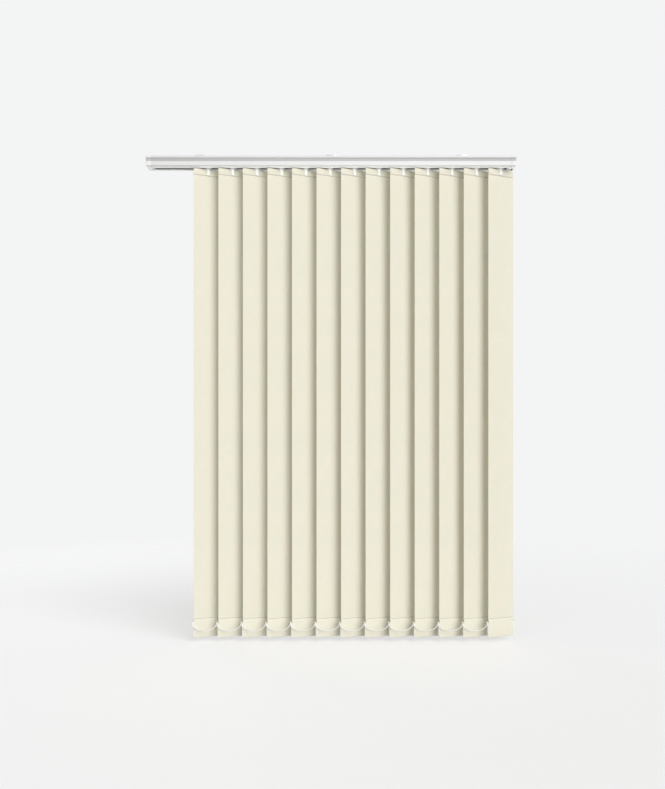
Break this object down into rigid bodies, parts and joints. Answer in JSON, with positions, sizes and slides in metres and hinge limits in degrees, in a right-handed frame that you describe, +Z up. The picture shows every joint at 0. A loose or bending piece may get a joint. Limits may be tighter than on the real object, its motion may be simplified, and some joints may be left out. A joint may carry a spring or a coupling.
{
  "type": "vertical blind",
  "caption": "Vertical blind of cream fabric vanes hung from a ceiling-fixed headrail, with linked weighted hems, that turns its vanes and stacks them to one end.",
  "frame": {"origin": "on the ceiling face of the middle bracket, midway between its two screws", "axes": "+X along the headrail towards the stack end, -Y towards the viewer in the room, +Z up"},
  "size_m": [1.1367, 0.047, 1.4765],
  "materials": {
    "rail_aluminium": "white powder coat, satin",
    "bracket_steel": "zinc plated",
    "cap_plastic": "moulded, satin",
    "rod_aluminium": "mill finish",
    "wheel_plastic": "moulded",
    "carrier_plastic": "moulded",
    "hanger_plastic": "moulded, glossy",
    "vane_fabric": "plain weave, stiffened",
    "weight_plastic": "moulded",
    "chain_plastic": "moulded"
  },
  "bodies": {
    "rail": {"headrail": "rail_aluminium", "mounting_brackets": "bracket_steel", "plain_end_cap": "cap_plastic", "control_end_cap": "cap_plastic", "carrier_13": "carrier_plastic"},
    "rod": {"tilt_rod": "rod_aluminium", "chain_wheel": "wheel_plastic"},
    "traveller_01": {"carrier_01": "carrier_plastic"},
    "traveller_02": {"carrier_02": "carrier_plastic"},
    "traveller_03": {"carrier_03": "carrier_plastic"},
    "traveller_04": {"carrier_04": "carrier_plastic"},
    "traveller_05": {"carrier_05": "carrier_plastic"},
    "traveller_06": {"carrier_06": "carrier_plastic"},
    "traveller_07": {"carrier_07": "carrier_plastic"},
    "traveller_08": {"carrier_08": "carrier_plastic"},
    "traveller_09": {"carrier_09": "carrier_plastic"},
    "traveller_10": {"carrier_10": "carrier_plastic"},
    "traveller_11": {"carrier_11": "carrier_plastic"},
    "traveller_12": {"carrier_12": "carrier_plastic"},
    "blade_01": {"vane_01": "vane_fabric", "hanger_01": "hanger_plastic", "weight_01": "weight_plastic"},
    "blade_02": {"vane_02": "vane_fabric", "hanger_02": "hanger_plastic", "weight_02": "weight_plastic"},
    "blade_03": {"vane_03": "vane_fabric", "hanger_03": "hanger_plastic", "weight_03": "weight_plastic"},
    "blade_04": {"vane_04": "vane_fabric", "hanger_04": "hanger_plastic", "weight_04": "weight_plastic"},
    "blade_05": {"vane_05": "vane_fabric", "hanger_05": "hanger_plastic", "weight_05": "weight_plastic"},
    "blade_06": {"vane_06": "vane_fabric", "hanger_06": "hanger_plastic", "weight_06": "weight_plastic"},
    "blade_07": {"vane_07": "vane_fabric", "hanger_07": "hanger_plastic", "weight_07": "weight_plastic"},
    "blade_08": {"vane_08": "vane_fabric", "hanger_08": "hanger_plastic", "weight_08": "weight_plastic"},
    "blade_09": {"vane_09": "vane_fabric", "hanger_09": "hanger_plastic", "weight_09": "weight_plastic"},
    "blade_10": {"vane_10": "vane_fabric", "hanger_10": "hanger_plastic", "weight_10": "weight_plastic"},
    "blade_11": {"vane_11": "vane_fabric", "hanger_11": "hanger_plastic", "weight_11": "weight_plastic"},
    "blade_12": {"vane_12": "vane_fabric", "hanger_12": "hanger_plastic", "weight_12": "weight_plastic"},
    "blade_13": {"vane_13": "vane_fabric", "hanger_13": "hanger_plastic", "weight_13": "weight_plastic"},
    "front_link": {"front_chain": "chain_plastic"},
    "rear_link": {"rear_chain": "chain_plastic"}
  },
  "joints": [
    {"name": "carrier_01_slide", "type": "slide", "parent": "rail", "child": "traveller_01", "axis": [1, 0, 0], "range_m": [0, 0.66], "deforming": ["front_chain", "rear_chain"]},
    {"name": "carrier_02_slide", "type": "slide", "parent": "rail", "child": "traveller_02", "axis": [1, 0, 0], "range_m": [0, 0.605]},
    {"name": "carrier_03_slide", "type": "slide", "parent": "rail", "child": "traveller_03", "axis": [1, 0, 0], "range_m": [0, 0.55]},
    {"name": "carrier_04_slide", "type": "slide", "parent": "rail", "child": "traveller_04", "axis": [1, 0, 0], "range_m": [0, 0.495]},
    {"name": "carrier_05_slide", "type": "slide", "parent": "rail", "child": "traveller_05", "axis": [1, 0, 0], "range_m": [0, 0.44]},
    {"name": "carrier_06_slide", "type": "slide", "parent": "rail", "child": "traveller_06", "axis": [1, 0, 0], "range_m": [0, 0.385]},
    {"name": "carrier_07_slide", "type": "slide", "parent": "rail", "child": "traveller_07", "axis": [1, 0, 0], "range_m": [0, 0.33]},
    {"name": "carrier_08_slide", "type": "slide", "parent": "rail", "child": "traveller_08", "axis": [1, 0, 0], "range_m": [0, 0.275]},
    {"name": "carrier_09_slide", "type": "slide", "parent": "rail", "child": "traveller_09", "axis": [1, 0, 0], "range_m": [0, 0.22]},
    {"name": "carrier_10_slide", "type": "slide", "parent": "rail", "child": "traveller_10", "axis": [1, 0, 0], "range_m": [0, 0.165]},
    {"name": "carrier_11_slide", "type": "slide", "parent": "rail", "child": "traveller_11", "axis": [1, 0, 0], "range_m": [0, 0.11]},
    {"name": "carrier_12_slide", "type": "slide", "parent": "rail", "child": "traveller_12", "axis": [1, 0, 0], "range_m": [0, 0.055]},
    {"name": "vane_01_tilt", "type": "hinge", "parent": "traveller_01", "child": "blade_01", "pos_m": [-0.378, 0, -0.038], "axis": [0, 0, 1], "range_deg": [-8, 146]},
    {"name": "vane_02_tilt", "type": "hinge", "parent": "traveller_02", "child": "blade_02", "pos_m": [-0.303, 0, -0.038], "axis": [0, 0, 1], "range_deg": [-8, 146]},
    {"name": "vane_03_tilt", "type": "hinge", "parent": "traveller_03", "child": "blade_03", "pos_m": [-0.228, 0, -0.038], "axis": [0, 0, 1], "range_deg": [-8, 146]},
    {"name": "vane_04_tilt", "type": "hinge", "parent": "traveller_04", "child": "blade_04", "pos_m": [-0.153, 0, -0.038], "axis": [0, 0, 1], "range_deg": [-8, 146]},
    {"name": "vane_05_tilt", "type": "hinge", "parent": "traveller_05", "child": "blade_05", "pos_m": [-0.078, 0, -0.038], "axis": [0, 0, 1], "range_deg": [-8, 146]},
    {"name": "vane_06_tilt", "type": "hinge", "parent": "traveller_06", "child": "blade_06", "pos_m": [-0.003, 0, -0.038], "axis": [0, 0, 1], "range_deg": [-8, 146]},
    {"name": "vane_07_tilt", "type": "hinge", "parent": "traveller_07", "child": "blade_07", "pos_m": [0.072, 0, -0.038], "axis": [0, 0, 1], "range_deg": [-8, 146]},
    {"name": "vane_08_tilt", "type": "hinge", "parent": "traveller_08", "child": "blade_08", "pos_m": [0.147, 0, -0.038], "axis": [0, 0, 1], "range_deg": [-8, 146]},
    {"name": "vane_09_tilt", "type": "hinge", "parent": "traveller_09", "child": "blade_09", "pos_m": [0.222, 0, -0.038], "axis": [0, 0, 1], "range_deg": [-8, 146]},
    {"name": "vane_10_tilt", "type": "hinge", "parent": "traveller_10", "child": "blade_10", "pos_m": [0.297, 0, -0.038], "axis": [0, 0, 1], "range_deg": [-8, 146]},
    {"name": "vane_11_tilt", "type": "hinge", "parent": "traveller_11", "child": "blade_11", "pos_m": [0.372, 0, -0.038], "axis": [0, 0, 1], "range_deg": [-8, 146]},
    {"name": "vane_12_tilt", "type": "hinge", "parent": "traveller_12", "child": "blade_12", "pos_m": [0.447, 0, -0.038], "axis": [0, 0, 1], "range_deg": [-8, 146]},
    {"name": "vane_13_tilt", "type": "hinge", "parent": "rail", "child": "blade_13", "pos_m": [0.522, 0, -0.038], "axis": [0, 0, 1], "range_deg": [-8, 146]},
    {"name": "rod_turn", "type": "hinge", "parent": "rail", "child": "rod", "pos_m": [0, 0.007, -0.018], "axis": [1, 0, 0], "range_deg": [-64.5, 1168.5]},
    {"name": "front_chain_level", "type": "hinge", "parent": "blade_13", "child": "front_link", "pos_m": [0.47588, -0.0177, -1.4304], "axis": [0, 0, 1], "range_deg": [-146, 8]},
    {"name": "rear_chain_level", "type": "hinge", "parent": "blade_13", "child": "rear_link", "pos_m": [0.56812, 0.0177, -1.4304], "axis": [0, 0, 1], "range_deg": [-146, 8]}
  ],
  "couplings": [
    {"joint": "carrier_02_slide", "follows": "carrier_01_slide", "ratio": 0.91667},
    {"joint": "carrier_03_slide", "follows": "carrier_01_slide", "ratio": 0.83333},
    {"joint": "carrier_04_slide", "follows": "carrier_01_slide", "ratio": 0.75},
    {"joint": "carrier_05_slide", "follows": "carrier_01_slide", "ratio": 0.66667},
    {"joint": "carrier_06_slide", "follows": "carrier_01_slide", "ratio": 0.58333},
    {"joint": "carrier_07_slide", "follows": "carrier_01_slide", "ratio": 0.5},
    {"joint": "carrier_08_slide", "follows": "carrier_01_slide", "ratio": 0.41667},
    {"joint": "carrier_09_slide", "follows": "carrier_01_slide", "ratio": 0.33333},
    {"joint": "carrier_10_slide", "follows": "carrier_01_slide", "ratio": 0.25},
    {"joint": "carrier_11_slide", "follows": "carrier_01_slide", "ratio": 0.16667},
    {"joint": "carrier_12_slide", "follows": "carrier_01_slide", "ratio": 0.083333},
    {"joint": "vane_02_tilt", "follows": "vane_01_tilt", "ratio": 1},
    {"joint": "vane_03_tilt", "follows": "vane_01_tilt", "ratio": 1},
    {"joint": "vane_04_tilt", "follows": "vane_01_tilt", "ratio": 1},
    {"joint": "vane_05_tilt", "follows": "vane_01_tilt", "ratio": 1},
    {"joint": "vane_06_tilt", "follows": "vane_01_tilt", "ratio": 1},
    {"joint": "vane_07_tilt", "follows": "vane_01_tilt", "ratio": 1},
    {"joint": "vane_08_tilt", "follows": "vane_01_tilt", "ratio": 1},
    {"joint": "vane_09_tilt", "follows": "vane_01_tilt", "ratio": 1},
    {"joint": "vane_10_tilt", "follows": "vane_01_tilt", "ratio": 1},
    {"joint": "vane_11_tilt", "follows": "vane_01_tilt", "ratio": 1},
    {"joint": "vane_12_tilt", "follows": "vane_01_tilt", "ratio": 1},
    {"joint": "vane_13_tilt", "follows": "vane_01_tilt", "ratio": 1},
    {"joint": "rod_turn", "follows": "vane_01_tilt", "ratio": 8},
    {"joint": "front_chain_level", "follows": "vane_01_tilt", "ratio": -1},
    {"joint": "rear_chain_level", "follows": "vane_01_tilt", "ratio": -1}
  ]
}
